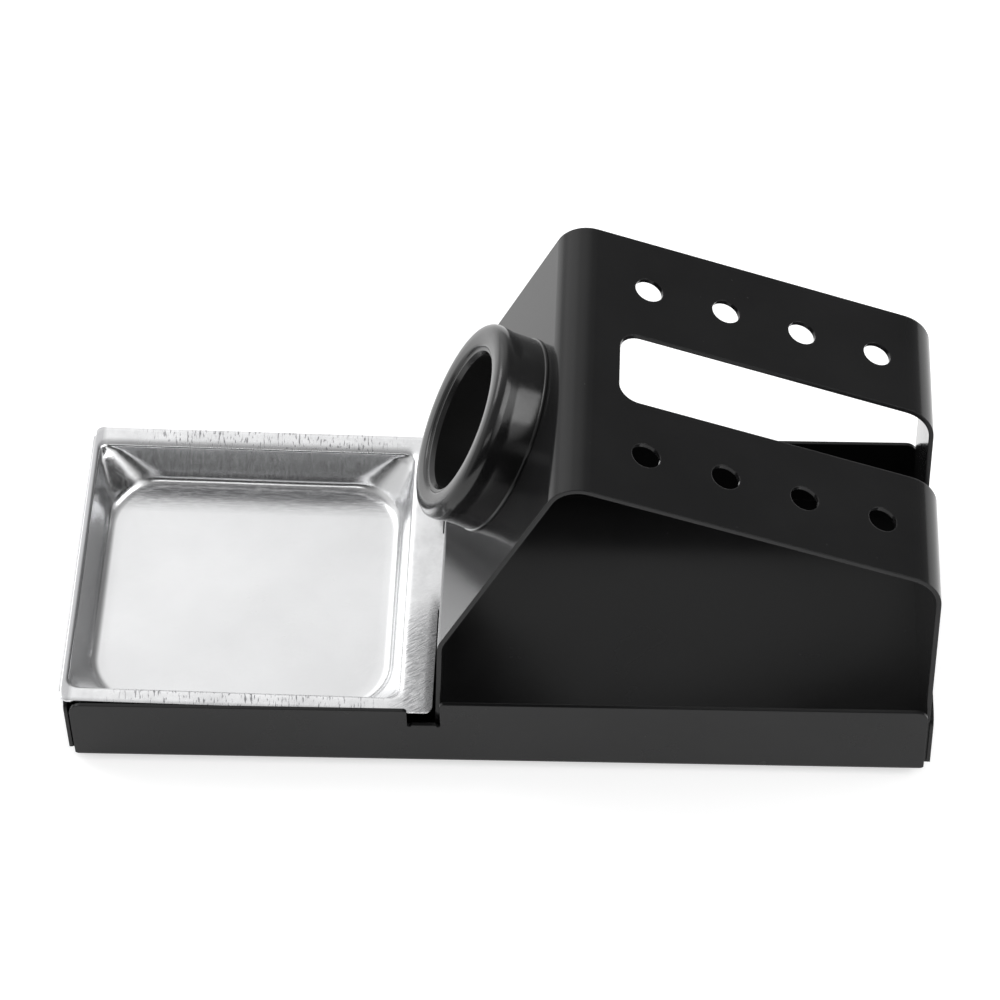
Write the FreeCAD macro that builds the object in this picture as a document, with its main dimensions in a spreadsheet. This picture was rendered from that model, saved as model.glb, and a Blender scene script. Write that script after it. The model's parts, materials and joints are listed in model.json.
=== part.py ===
import FreeCAD, Part
import Sketcher
import math
import os

# Soldering iron stand: a folded pan, a bent bracket with a guide ring, and a lift-out tray.
# Millimetres. +X runs from the tray to the bracket, +Y away from the user, +Z up.
# The origin is on the bench, under the middle of the pan.
doc = FreeCAD.newDocument("soldering_iron_stand")

# ---------------------------------------------------------------- driving dimensions
SIZES = [
    # folded pan
    ("pan_length", 180.0, "over the end walls"),
    ("pan_width", 74.6, "over the long walls"),
    ("pan_sheet", 0.8, "sheet thickness of the pan"),
    ("pan_bend", 1.3, "outside radius of the pan's folds"),
    ("tall_wall", 19.2, "long wall beside the bracket, from the pan's underside"),
    ("low_wall", 16.9, "long wall beside the tray"),
    ("left_wall", 15.8, "end wall under the tray's hook"),
    ("right_wall", 15.2, "end wall behind the bracket"),
    ("corner_gap", 1.4, "open corner, from the outside of the wall next to it"),
    ("corner_round", 2.5, "rounded top corner of every wall"),
    ("corner_cut", 1.3, "cut across the lower corner of every wall"),
    ("notch_left", -18.5, "finger notch, end next to the tray"),
    ("notch_right", -11.6, "finger notch, end at the bracket"),
    ("notch_floor", 12.3, "finger notch, bottom above the pan's underside"),
    ("notch_relief", 0.45, "punched relief in each bottom corner of the notch"),
    ("foot_height", 1.5, "rubber foot under the pan"),
    ("foot_radius", 5.0, "rubber foot"),
    ("foot_inset_x", 12.0, "foot centre from the pan's end"),
    ("foot_inset_y", 11.0, "foot centre from the pan's side"),
    # bent bracket, corners of its outside face before bending
    ("strap_sheet", 1.0, "sheet thickness of the bracket"),
    ("strap_width", 71.8, "width of the bracket"),
    ("strap_y", 0.4, "middle of the bracket, as it was fitted in the pan"),
    ("heel_x", -13.3, "bottom of the front leg"),
    ("knee_x", -11.6, "bend between front leg and ring plate"),
    ("knee_z", 36.0, "height above the pan's underside"),
    ("crest_x", 14.1, "bend between ring plate and tip shelf"),
    ("crest_z", 86.2, "height above the pan's underside"),
    ("shoulder_z", 57.7, "bend between tip shelf and rear leg"),
    ("knee_bend", 6.0, "outside radius"),
    ("crest_bend", 6.5, "outside radius"),
    ("shoulder_bend", 9.0, "outside radius"),
    ("toe_length", 11.0, "foot flange of the front leg, under the tray"),
    ("tip_hole_radius", 3.0, "holes for spare tips"),
    ("tip_hole_first", 17.3, "first hole from the crest, along the shelf"),
    ("tip_hole_pitch", 16.8, "hole to hole along the shelf"),
    ("tip_row_offset", 22.6, "each row from the middle of the shelf"),
    ("slot_width", 18.4, "long slot between the rows"),
    ("slot_start", 24.7, "left end of the slot"),
    ("slot_end_z", 34.0, "bottom of the slot in the rear leg, above the pan's underside"),
    ("slot_round", 4.0, "corner radius of the slot"),
    ("ring_hole_radius", 17.6, "hole for the guide ring in the ring plate"),
    ("ring_drop", 28.8, "ring centre below the crest, along the ring plate"),
    # guide ring and its nut
    ("ring_bore", 14.3, "bore radius"),
    ("ring_body", 20.3, "outside radius of the body"),
    ("ring_bead", 20.8, "outside radius of the front bead"),
    ("ring_height", 10.6, "front of the bead above the plate"),
    ("bead_height", 4.2, "length of the bead"),
    ("bead_round", 2.4, "outer edge of the bead"),
    ("mouth_round", 1.7, "inner edge of the bead"),
    ("thread_radius", 17.3, "spigot through the plate"),
    ("spigot_length", 6.5, "spigot behind the plate's front"),
    ("nut_radius", 20.6, "ring nut"),
    ("nut_height", 3.6, "ring nut"),
    ("nut_slack", 0.06, "radial clearance of the nut's thread"),
    # drawn aluminium tray
    ("tray_sheet", 0.5, "sheet thickness of the tray"),
    ("tray_length", 77.6, "over the hook and the right rim"),
    ("tray_width", 74.2, "over the rims"),
    ("tray_x", -52.1, "middle of the rim"),
    ("tray_y", 1.1, "middle of the rim"),
    ("tray_z", 17.35, "top of the rim at its middle, above the pan's underside"),
    ("tray_dip", 1.5, "right side lower, degrees"),
    ("tray_rise", 1.9, "far side higher, degrees"),
    ("rim_left", 1.9, "rim width"),
    ("rim_right", 7.2, "rim width"),
    ("rim_near", 3.9, "rim width"),
    ("rim_far", 4.7, "rim width"),
    ("well_depth", 9.6, "rim to the inside of the bottom"),
    ("well_slope", 2.7, "inward lean of each wall"),
    ("well_fillet", 2.3, "inside radius round the bottom"),
    ("well_corner_top", 2.4, "corner radius at the rim"),
    ("well_corner_floor", 13.0, "corner radius at the bottom"),
    ("hook_depth", 6.0, "hook over the left wall"),
    ("hook_inset", 2.0, "hook end from the rim corner"),
    ("rim_edge", 0.9, "rounding where the rim turns into hook and well"),
    ("rim_corner", 1.6, "outside corners of the rim"),
    ("tab_reach", 3.8, "tab beyond the right rim"),
    ("tab_width", 20.6, "tab"),
    ("tab_gap", 0.25, "clearance over the tab"),
    ("tab_swing", 2.3, "room under the tab, so that the tray can tip up"),
    # rivets
    ("rivet_radius", 1.6, "shank"),
    ("rivet_head_radius", 3.0, "domed head"),
    ("rivet_head_height", 1.0, "domed head"),
    ("rivet_row", 22.0, "each rivet from the middle"),
]

dims = doc.addObject("Spreadsheet::Sheet", "dims")
for row, (name, number, meaning) in enumerate(SIZES, start=1):
    dims.set("A%d" % row, name)
    dims.set("B%d" % row, str(number))
    dims.set("C%d" % row, meaning)
    dims.setAlias("B%d" % row, name)
doc.recompute()


def size(name):
    """The number in one cell of the sheet."""
    return float(getattr(dims, name))


# ---------------------------------------------------------------- helpers
def new_body(label):
    body = doc.addObject("PartDesign::Body", label)
    body.Label = label
    return body


def new_sketch(body, plane_role, name, lift=None):
    """A sketch on one of the body's own origin planes, lifted along its normal."""
    sketch = body.newObject("Sketcher::SketchObject", name)
    plane = [f for f in body.Origin.OriginFeatures if f.Role == plane_role][0]
    sketch.AttachmentSupport = [(plane, "")]
    sketch.MapMode = "FlatFace"
    if lift:
        sketch.setExpression(".AttachmentOffset.Base.z", lift)
    doc.recompute()
    return sketch


def place_vertex(sketch, geometry, vertex, x_text, y_text):
    """Ties one end of a line, or a centre, to the sheet."""
    for kind, text in (("DistanceX", x_text), ("DistanceY", y_text)):
        value = float(sketch.evalExpression(text))
        index = sketch.addConstraint(Sketcher.Constraint(kind, -1, 1, geometry, vertex, value))
        sketch.setExpression("Constraints[%d]" % index, text)


def polygon(sketch, corners):
    """A closed outline through corners given as pairs of expressions."""
    values = [[float(sketch.evalExpression(text)) for text in corner] for corner in corners]
    points = [FreeCAD.Vector(x, y, 0) for x, y in values]
    count = len(points)
    first = sketch.GeometryCount
    for i in range(count):
        sketch.addGeometry(Part.LineSegment(points[i], points[(i + 1) % count]), False)
    for i in range(count):
        following = first + (i + 1) % count
        sketch.addConstraint(Sketcher.Constraint("Coincident", first + i, 2, following, 1))
    for i, (x_text, y_text) in enumerate(corners):
        place_vertex(sketch, first + i, 1, x_text, y_text)


def circle(sketch, x_text, y_text, radius_text):
    x, y, radius = (float(sketch.evalExpression(t)) for t in (x_text, y_text, radius_text))
    centre = FreeCAD.Vector(x, y, 0)
    index = sketch.addGeometry(Part.Circle(centre, FreeCAD.Vector(0, 0, 1), radius), False)
    place_vertex(sketch, index, 3, x_text, y_text)
    constraint = sketch.addConstraint(Sketcher.Constraint("Radius", index, radius))
    sketch.setExpression("Constraints[%d]" % constraint, radius_text)


def rounded_rectangle(sketch, left, right, near, far, radius_text):
    """Four sides and four equal corner arcs; every side is tied to the sheet."""
    x0, x1, y0, y1, r = (float(sketch.evalExpression(t)) for t in (left, right, near, far, radius_text))
    vector = FreeCAD.Vector
    sides = [
        (vector(x0 + r, y0, 0), vector(x1 - r, y0, 0)),
        (vector(x1, y0 + r, 0), vector(x1, y1 - r, 0)),
        (vector(x1 - r, y1, 0), vector(x0 + r, y1, 0)),
        (vector(x0, y1 - r, 0), vector(x0, y0 + r, 0)),
    ]
    centres = [(x1 - r, y0 + r), (x1 - r, y1 - r), (x0 + r, y1 - r), (x0 + r, y0 + r)]
    for start, end in sides:
        sketch.addGeometry(Part.LineSegment(start, end), False)
    for i, (cx, cy) in enumerate(centres):
        ring = Part.Circle(vector(cx, cy, 0), vector(0, 0, 1), r)
        begin = math.radians(-90 + 90 * i)
        sketch.addGeometry(Part.ArcOfCircle(ring, begin, begin + math.pi / 2), False)
    for i in range(4):
        sketch.addConstraint(Sketcher.Constraint("Tangent", i, 2, 4 + i, 1))
        sketch.addConstraint(Sketcher.Constraint("Tangent", 4 + i, 2, (i + 1) % 4, 1))
    sketch.addConstraint(Sketcher.Constraint("Horizontal", 0))
    sketch.addConstraint(Sketcher.Constraint("Vertical", 1))
    for i in (1, 2, 3):
        sketch.addConstraint(Sketcher.Constraint("Equal", 4, 4 + i))
    constraints = [
        (Sketcher.Constraint("Radius", 4, r), radius_text),
        (Sketcher.Constraint("DistanceY", -1, 1, 0, 1, y0), near),
        (Sketcher.Constraint("DistanceX", -1, 1, 1, 1, x1), right),
        (Sketcher.Constraint("DistanceY", -1, 1, 2, 1, y1), far),
        (Sketcher.Constraint("DistanceX", -1, 1, 3, 1, x0), left),
    ]
    for constraint, text in constraints:
        index = sketch.addConstraint(constraint)
        sketch.setExpression("Constraints[%d]" % index, text)


def add_feature(body, kind, name, profile=None, **values):
    """Adds a feature, ties its sizes to the sheet and makes it the body's tip."""
    feature = body.newObject(kind, name)
    if profile is not None:
        feature.Profile = profile
        profile.Visibility = False
    for prop, value in values.items():
        if isinstance(value, str) and prop in ("Length", "Length2", "Radius", "Value", "Size"):
            feature.setExpression(prop, value)
        else:
            setattr(feature, prop, value)
    body.Tip = feature
    doc.recompute()
    if feature.Shape.isNull() or "Invalid" in feature.State or "Error" in feature.State:
        raise RuntimeError("%s failed: %s" % (name, feature.State))
    return feature


def edges_where(feature, test):
    return ["Edge%d" % (i + 1) for i, edge in enumerate(feature.Shape.Edges) if test(edge)]


def faces_where(feature, test):
    return ["Face%d" % (i + 1) for i, face in enumerate(feature.Shape.Faces) if test(face)]


def is_straight(edge):
    return isinstance(edge.Curve, Part.Line)


def near(value, target, slack=0.01):
    return abs(value - target) < slack


def runs_along(edge, axis):
    """True for a straight edge along one of the axes, 0, 1 or 2."""
    if not is_straight(edge):
        return False
    direction = edge.Curve.Direction
    return near(abs(direction[axis]), 1.0)


def fillet(body, name, radius_text, test):
    base = body.Tip
    names = edges_where(base, test)
    if not names:
        raise RuntimeError("no edge found for " + name)
    return add_feature(body, "PartDesign::Fillet", name, Base=(base, names), Radius=radius_text)


def lengthwise_direction(angle_degrees):
    """Unit vector in the XZ plane, measured from +X towards +Z."""
    angle = math.radians(angle_degrees)
    return FreeCAD.Vector(math.cos(angle), 0, math.sin(angle))


# ---------------------------------------------------------------- places worked out from the sheet
UNDERSIDE = size("foot_height")
FLOOR_TOP = UNDERSIDE + size("pan_sheet")
HALF_LENGTH = size("pan_length") / 2
HALF_WIDTH = size("pan_width") / 2
REAR_LEG_X = HALF_LENGTH - size("pan_sheet")

KNEE = FreeCAD.Vector(size("knee_x"), 0, UNDERSIDE + size("knee_z"))
CREST = FreeCAD.Vector(size("crest_x"), 0, UNDERSIDE + size("crest_z"))
SHOULDER = FreeCAD.Vector(REAR_LEG_X, 0, UNDERSIDE + size("shoulder_z"))
RING_SLOPE = math.degrees(math.atan2(CREST.z - KNEE.z, CREST.x - KNEE.x))
SHELF_SLOPE = math.degrees(math.atan2(CREST.z - SHOULDER.z, SHOULDER.x - CREST.x))
RING_CENTRE = CREST - lengthwise_direction(RING_SLOPE) * size("ring_drop")

PAN_TOP = {"tall": "dims.foot_height + dims.tall_wall", "low": "dims.foot_height + dims.low_wall"}


# ---------------------------------------------------------------- folded pan
def make_base_pan():
    body = new_body("base_pan")
    half_l, half_w, gap = "dims.pan_length / 2", "dims.pan_width / 2", "dims.corner_gap"
    inner_l, inner_w = "(%s - %s)" % (half_l, gap), "(%s - %s)" % (half_w, gap)

    # The blank's floor is a cross: each corner square is cut away so that the walls fold freely.
    floor = new_sketch(body, "XY_Plane", "pan_floor_outline", "dims.foot_height")
    quarter = [(half_l, inner_w), (inner_l, inner_w), (inner_l, half_w)]
    corners = list(quarter)
    corners += [("-" + x, y) for x, y in reversed(quarter)]
    corners += [("-" + x, "-" + y) for x, y in quarter]
    corners += [(x, "-" + y) for x, y in reversed(quarter)]
    polygon(floor, corners)
    add_feature(body, "PartDesign::Pad", "pan_floor", floor, Length="dims.pan_sheet")

    # Long wall: low beside the tray, a finger notch, then tall beside the bracket.
    wall = new_sketch(body, "XZ_Plane", "long_wall_outline", half_w + " - dims.pan_sheet")
    polygon(wall, [
        ("-" + inner_l, "dims.foot_height"),
        (inner_l, "dims.foot_height"),
        (inner_l, PAN_TOP["tall"]),
        ("dims.notch_right", PAN_TOP["tall"]),
        ("dims.notch_right", "dims.foot_height + dims.notch_floor"),
        ("dims.notch_left", "dims.foot_height + dims.notch_floor"),
        ("dims.notch_left", PAN_TOP["low"]),
        ("-" + inner_l, PAN_TOP["low"]),
    ])
    long_wall = add_feature(body, "PartDesign::Pad", "near_wall", wall, Length="dims.pan_sheet")
    middle = [f for f in body.Origin.OriginFeatures if f.Role == "XZ_Plane"][0]
    add_feature(body, "PartDesign::Mirrored", "far_wall", Originals=[long_wall],
                MirrorPlane=(middle, [""]))

    # End walls.
    for name, lift, top in (
        ("left_wall_outline", "-" + half_l, "dims.foot_height + dims.left_wall"),
        ("right_wall_outline", half_l + " - dims.pan_sheet", "dims.foot_height + dims.right_wall"),
    ):
        end = new_sketch(body, "YZ_Plane", name, lift)
        polygon(end, [
            ("-" + inner_w, "dims.foot_height"),
            (inner_w, "dims.foot_height"),
            (inner_w, top),
            ("-" + inner_w, top),
        ])
        add_feature(body, "PartDesign::Pad", name.replace("_outline", ""), end,
                    Length="dims.pan_sheet")

    # Outside radius of the four folds.
    def on_fold(edge):
        box = edge.BoundBox
        low = near(box.ZMin, UNDERSIDE) and near(box.ZMax, UNDERSIDE)
        along_x = runs_along(edge, 0) and near(abs(box.YMin), HALF_WIDTH)
        along_y = runs_along(edge, 1) and near(abs(box.XMin), HALF_LENGTH)
        return low and (along_x or along_y)
    fillet(body, "fold_radius", "dims.pan_bend", on_fold)

    # Lower corners of the walls, cut off at 45 degrees.
    for name, side_plane, reach, across in (
        ("long", "XZ_Plane", half_l, half_w),
        ("end", "YZ_Plane", half_w, half_l),
    ):
        cuts = new_sketch(body, side_plane, name + "_wall_corner_cuts", across)
        for sign in ("", "-"):
            polygon(cuts, [
                ("%s(%s - dims.corner_gap - dims.corner_cut)" % (sign, reach), "dims.foot_height"),
                ("%s(%s)" % (sign, reach), "dims.foot_height"),
                ("%s(%s)" % (sign, reach), "dims.foot_height + dims.corner_gap + dims.corner_cut"),
            ])
        cut = add_feature(body, "PartDesign::Pocket", name + "_wall_corner_pocket", cuts,
                          Length="dims.corner_gap")
        mirror = [f for f in body.Origin.OriginFeatures if f.Role == side_plane][0]
        add_feature(body, "PartDesign::Mirrored", name + "_wall_corners_mirrored", Originals=[cut],
                    MirrorPlane=(mirror, [""]))

    # Rounded top corners of all four walls, and the soft shoulders of the finger notch.
    tops = [UNDERSIDE + size(n) for n in ("tall_wall", "low_wall", "left_wall", "right_wall")]

    def on_wall_corner(edge):
        centre = edge.CenterOfMass
        at_top = any(near(centre.z, z) for z in tops)
        long_end = runs_along(edge, 1) and abs(centre.x) > HALF_LENGTH - 2 * size("corner_gap")
        short_end = runs_along(edge, 0) and abs(centre.y) > HALF_WIDTH - 2 * size("corner_gap")
        return at_top and edge.Length < 2 * size("pan_sheet") and (long_end or short_end)
    fillet(body, "wall_corner_radius", "dims.corner_round", on_wall_corner)

    def on_notch_shoulder(edge):
        centre = edge.CenterOfMass
        at_notch = near(centre.x, size("notch_left")) or near(centre.x, size("notch_right"))
        return runs_along(edge, 1) and at_notch and any(near(centre.z, z) for z in tops)
    fillet(body, "notch_shoulder_radius", "dims.pan_sheet", on_notch_shoulder)

    reliefs = new_sketch(body, "XZ_Plane", "notch_reliefs")
    for x, inward in (("dims.notch_left", " + "), ("dims.notch_right", " - ")):
        circle(reliefs, x + inward + "dims.notch_relief", "dims.foot_height + dims.notch_floor",
               "dims.notch_relief")
    add_feature(body, "PartDesign::Pocket", "notch_relief_pocket", reliefs,
                Length="2 * dims.pan_width", Midplane=True)

    # Two rivet holes in the floor, under the bracket's toe.
    floor_holes = new_sketch(body, "XY_Plane", "floor_rivet_holes", "dims.foot_height")
    for sign in ("-", "+"):
        circle(floor_holes, "dims.heel_x - dims.toe_length / 2",
               "dims.strap_y %s dims.rivet_row" % sign, "dims.rivet_radius")
    add_feature(body, "PartDesign::Pocket", "floor_rivet_pocket", floor_holes,
                Length="4 * dims.pan_sheet", Midplane=True)
    return body


# ---------------------------------------------------------------- bent bracket
def make_holder_bracket():
    body = new_body("holder_bracket")
    leg_foot = "dims.foot_height + dims.pan_sheet"
    rear_x = "dims.pan_length / 2 - dims.pan_sheet"

    # The space that the bracket wraps round, filled, then bent corners, then hollowed to a strap.
    outline = new_sketch(body, "XZ_Plane", "bracket_outline")
    polygon(outline, [
        ("dims.heel_x", leg_foot),
        ("dims.knee_x", "dims.foot_height + dims.knee_z"),
        ("dims.crest_x", "dims.foot_height + dims.crest_z"),
        (rear_x, "dims.foot_height + dims.shoulder_z"),
        (rear_x, leg_foot),
    ])
    add_feature(body, "PartDesign::Pad", "filled_bracket", outline,
                Length="dims.strap_width", Midplane=True)
    bends = (("knee_radius", "dims.knee_bend", KNEE), ("crest_radius", "dims.crest_bend", CREST),
             ("shoulder_radius", "dims.shoulder_bend", SHOULDER))
    for name, radius, corner in bends:
        def at_corner(edge, corner=corner):
            centre = edge.CenterOfMass
            return runs_along(edge, 1) and near(centre.x, corner.x) and near(centre.z, corner.z)
        fillet(body, name, radius, at_corner)

    half_width = size("strap_width") / 2

    def is_open_side(face):
        box = face.BoundBox
        side = near(box.YMin, box.YMax) and near(abs(box.YMin), half_width)
        underneath = near(box.ZMin, FLOOR_TOP) and near(box.ZMax, FLOOR_TOP)
        return side or underneath
    filled = body.Tip
    add_feature(body, "PartDesign::Thickness", "strap", Base=(filled, faces_where(filled, is_open_side)),
                Value="dims.strap_sheet", Reversed=True)

    # Toe of the front leg, folded towards the tray and riveted to the pan's floor.
    toe = new_sketch(body, "XZ_Plane", "toe_outline")
    polygon(toe, [
        ("dims.heel_x - dims.toe_length", leg_foot),
        ("dims.heel_x + dims.strap_sheet", leg_foot),
        ("dims.heel_x + dims.strap_sheet", leg_foot + " + dims.strap_sheet"),
        ("dims.heel_x - dims.toe_length", leg_foot + " + dims.strap_sheet"),
    ])
    add_feature(body, "PartDesign::Pad", "toe", toe, Length="dims.strap_width", Midplane=True)

    # Long slot: along the shelf, over the rear bend and down the rear leg.
    shelf_slot = new_sketch(body, "XY_Plane", "shelf_slot_outline")
    rounded_rectangle(shelf_slot, "dims.slot_start", rear_x + " + 2 * dims.slot_round",
                      "-dims.slot_width / 2", "dims.slot_width / 2", "dims.slot_round")
    shelf_slot.setExpression(".AttachmentOffset.Base.z",
                             "dims.foot_height + dims.shoulder_z - dims.shoulder_bend")
    leg_slot = new_sketch(body, "YZ_Plane", "leg_slot_outline", rear_x + " - dims.shoulder_bend")
    rounded_rectangle(leg_slot, "-dims.slot_width / 2", "dims.slot_width / 2",
                      "dims.foot_height + dims.slot_end_z",
                      "dims.foot_height + dims.shoulder_z", "dims.slot_round")
    add_feature(body, "PartDesign::Pocket", "shelf_slot", shelf_slot,
                Length="dims.crest_z", Reversed=True)
    add_feature(body, "PartDesign::Pocket", "leg_slot", leg_slot,
                Length="2 * dims.shoulder_bend", Reversed=True)

    # Spare-tip holes, square to the shelf: one in each row, then the row.
    holes = new_sketch(body, "XY_Plane", "tip_holes_start")
    holes.AttachmentOffset = FreeCAD.Placement(
        CREST, FreeCAD.Rotation(FreeCAD.Vector(0, 1, 0), SHELF_SLOPE))
    for sign in ("-", ""):
        circle(holes, "dims.tip_hole_first", sign + "dims.tip_row_offset", "dims.tip_hole_radius")
    first = add_feature(body, "PartDesign::Pocket", "first_tip_holes", holes,
                        Length="6 * dims.strap_sheet", Midplane=True)
    row = add_feature(body, "PartDesign::LinearPattern", "tip_hole_rows", Originals=[first],
                      Direction=(holes, ["H_Axis"]), Occurrences=4)
    row.setExpression("Length", "3 * dims.tip_hole_pitch")

    # Hole for the guide ring, square to the ring plate.
    ring_hole = new_sketch(body, "XY_Plane", "ring_hole_outline")
    ring_hole.AttachmentOffset = FreeCAD.Placement(
        RING_CENTRE, FreeCAD.Rotation(FreeCAD.Vector(0, 1, 0), -RING_SLOPE))
    circle(ring_hole, "0", "0", "dims.ring_hole_radius")
    add_feature(body, "PartDesign::Pocket", "ring_hole", ring_hole,
                Length="6 * dims.strap_sheet", Midplane=True)

    # Slot for the tray's tab in the front leg.
    tab_slot = new_sketch(body, "YZ_Plane", "tab_slot_outline", "dims.heel_x - dims.strap_sheet")
    half_tab = "(dims.tab_width / 2 + 2 * dims.tab_gap)"
    tab_middle = "dims.tray_y - dims.strap_y"
    tab_top = "(dims.foot_height + dims.tray_z - (dims.tray_length / 2) * tan(dims.tray_dip)"
    lean = "tan(dims.tray_rise) * dims.tab_width / 2"
    polygon(tab_slot, [
        (tab_middle + " - " + half_tab, tab_top + " - dims.tab_swing - %s)" % lean),
        (tab_middle + " + " + half_tab, tab_top + " - dims.tab_swing - %s)" % lean),
        (tab_middle + " + " + half_tab, tab_top + " + dims.tab_gap + %s)" % lean),
        (tab_middle + " - " + half_tab, tab_top + " + dims.tab_gap + %s)" % lean),
    ])
    add_feature(body, "PartDesign::Pocket", "tab_slot", tab_slot,
                Length="5 * dims.strap_sheet", Reversed=True)

    # Rivet holes in the toe that match the pan's.
    toe_holes = new_sketch(body, "XY_Plane", "toe_rivet_holes", leg_foot)
    for sign in ("-", ""):
        circle(toe_holes, "dims.heel_x - dims.toe_length / 2", sign + "dims.rivet_row",
               "dims.rivet_radius")
    add_feature(body, "PartDesign::Pocket", "toe_rivet_pocket", toe_holes,
                Length="4 * dims.strap_sheet", Midplane=True)
    body.Placement = FreeCAD.Placement(
        FreeCAD.Vector(0, size("strap_y"), 0), FreeCAD.Rotation())
    return body


# ---------------------------------------------------------------- guide ring and nut
def ring_placement():
    """Local +Z becomes the ring plate's outward normal, local origin the ring's centre."""
    centre = RING_CENTRE + FreeCAD.Vector(0, size("strap_y"), 0)
    return FreeCAD.Placement(centre, FreeCAD.Rotation(FreeCAD.Vector(0, 1, 0), -RING_SLOPE))


def revolve(body, sketch, name):
    axis = [f for f in body.Origin.OriginFeatures if f.Role == "Z_Axis"][0]
    return add_feature(body, "PartDesign::Revolution", name, sketch,
                       ReferenceAxis=(axis, [""]), Angle=360.0)


def make_guide_ring():
    body = new_body("guide_ring")
    profile = new_sketch(body, "XZ_Plane", "ring_section")
    bead_back = "dims.ring_height - dims.bead_height"
    polygon(profile, [
        ("dims.ring_bore", "-dims.spigot_length"),
        ("dims.thread_radius", "-dims.spigot_length"),
        ("dims.thread_radius", "0"),
        ("dims.ring_body", "0"),
        ("dims.ring_body", bead_back),
        ("dims.ring_bead", bead_back),
        ("dims.ring_bead", "dims.ring_height"),
        ("dims.ring_bore", "dims.ring_height"),
    ])
    revolve(body, profile, "ring_turned")

    def front_edge(radius):
        def test(edge):
            curve = edge.Curve
            round_edge = isinstance(curve, Part.Circle) and near(curve.Radius, radius)
            return round_edge and near(edge.BoundBox.ZMax, size("ring_height"))
        return test
    fillet(body, "bead_radius", "dims.bead_round", front_edge(size("ring_bead")))
    fillet(body, "mouth_radius", "dims.mouth_round", front_edge(size("ring_bore")))
    body.Placement = ring_placement()
    return body


def make_ring_nut():
    body = new_body("ring_nut")
    profile = new_sketch(body, "XZ_Plane", "nut_section")
    front, back = "-dims.strap_sheet", "(-dims.strap_sheet - dims.nut_height)"
    inner = "dims.thread_radius + dims.nut_slack"
    polygon(profile, [
        (inner, back),
        ("dims.nut_radius", back),
        ("dims.nut_radius", front),
        (inner, front),
    ])
    revolve(body, profile, "nut_turned")

    # Grip flutes round the rim.
    flute = new_sketch(body, "XY_Plane", "flute_outline", back)
    circle(flute, "dims.nut_radius + 0.8", "0", "1.6")
    first = add_feature(body, "PartDesign::Pocket", "first_flute", flute,
                        Length="dims.nut_height", Reversed=True)
    axis = [f for f in body.Origin.OriginFeatures if f.Role == "Z_Axis"][0]
    add_feature(body, "PartDesign::PolarPattern", "flutes", Originals=[first],
                Axis=(axis, [""]), Angle=360.0, Occurrences=12)
    body.Placement = ring_placement()
    return body


# ---------------------------------------------------------------- drawn tray
def add_well(body, name, grow):
    """A drawn well hanging from the rim's top face, its skin set out by grow all round."""
    half_l, half_w = "dims.tray_length / 2", "dims.tray_width / 2"
    sections = []
    for level, inward, lift, corner in (
        ("top", "0", None, "dims.well_corner_top"),
        ("bottom", "dims.well_slope", "-dims.well_depth - " + grow, "dims.well_corner_floor"),
    ):
        sketch = new_sketch(body, "XY_Plane", "%s_%s" % (name, level), lift)
        rounded_rectangle(
            sketch,
            "-%s + dims.rim_left - %s + %s" % (half_l, grow, inward),
            "%s - dims.rim_right + %s - %s" % (half_l, grow, inward),
            "-%s + dims.rim_near - %s + %s" % (half_w, grow, inward),
            "%s - dims.rim_far + %s - %s" % (half_w, grow, inward),
            corner + " + " + grow)
        sections.append(sketch)
    add_feature(body, "PartDesign::AdditiveLoft", name, sections[0], Sections=sections[1:])
    lowest = body.Tip.Shape.BoundBox.ZMin

    def on_bottom_edge(edge):
        box = edge.BoundBox
        return near(box.ZMin, lowest) and near(box.ZMax, lowest)
    fillet(body, name + "_radius", "dims.well_fillet + " + grow, on_bottom_edge)


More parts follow.
